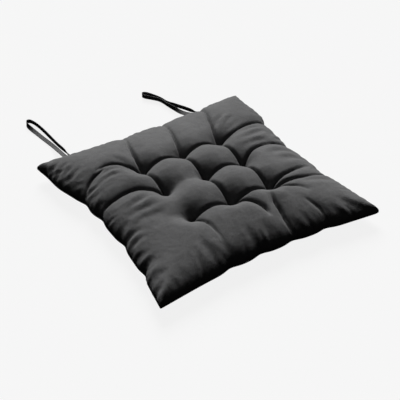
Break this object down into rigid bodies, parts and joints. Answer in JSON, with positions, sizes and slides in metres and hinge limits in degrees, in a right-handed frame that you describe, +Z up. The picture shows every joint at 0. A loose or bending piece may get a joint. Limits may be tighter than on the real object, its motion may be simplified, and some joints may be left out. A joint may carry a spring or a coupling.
{
  "type": "tufted chair seat pad",
  "caption": "Square knife-edged seat pad with fibre filling, tufts in a grid and two tape loops at the back for tying it to a chair.",
  "frame": {"origin": "on the surface that the pad lies on, under the middle of its square; the tape loops are left out of the box", "axes": "+Z up through the thickness, -Y towards the front of the seat, +Y towards its back, where the tape loops are"},
  "size_m": [0.3982, 0.558, 0.0559],
  "materials": {
    "cover_fabric": "matte",
    "polyester_fibre": "matte",
    "sewing_thread": "matte",
    "woven_tape": "matte"
  },
  "bodies": {
    "pad": {"cover_top": "cover_fabric", "cover_bottom": "cover_fabric", "filling": "polyester_fibre", "tuft_front_left": "sewing_thread", "tuft_front_centre": "sewing_thread", "tuft_front_right": "sewing_thread", "tuft_middle_left": "sewing_thread", "tuft_middle_centre": "sewing_thread", "tuft_middle_right": "sewing_thread", "tuft_back_left": "sewing_thread", "tuft_back_centre": "sewing_thread", "tuft_back_right": "sewing_thread", "seam_thread": "sewing_thread", "closing_thread": "sewing_thread", "bartack_left": "sewing_thread", "bartack_right": "sewing_thread"},
    "tie_left": {"tie_loop_left": "woven_tape"},
    "tie_right": {"tie_loop_right": "woven_tape"}
  },
  "joints": [
    {"name": "tie_left_swing", "type": "hinge", "parent": "pad", "child": "tie_left", "pos_m": [-0.1404, 0.19591, 0.0175], "axis": [1, 0, 0], "range_deg": [-90, 105]},
    {"name": "tie_right_swing", "type": "hinge", "parent": "pad", "child": "tie_right", "pos_m": [0.1115, 0.19373, 0.0175], "axis": [1, 0, 0], "range_deg": [-90, 105]}
  ]
}
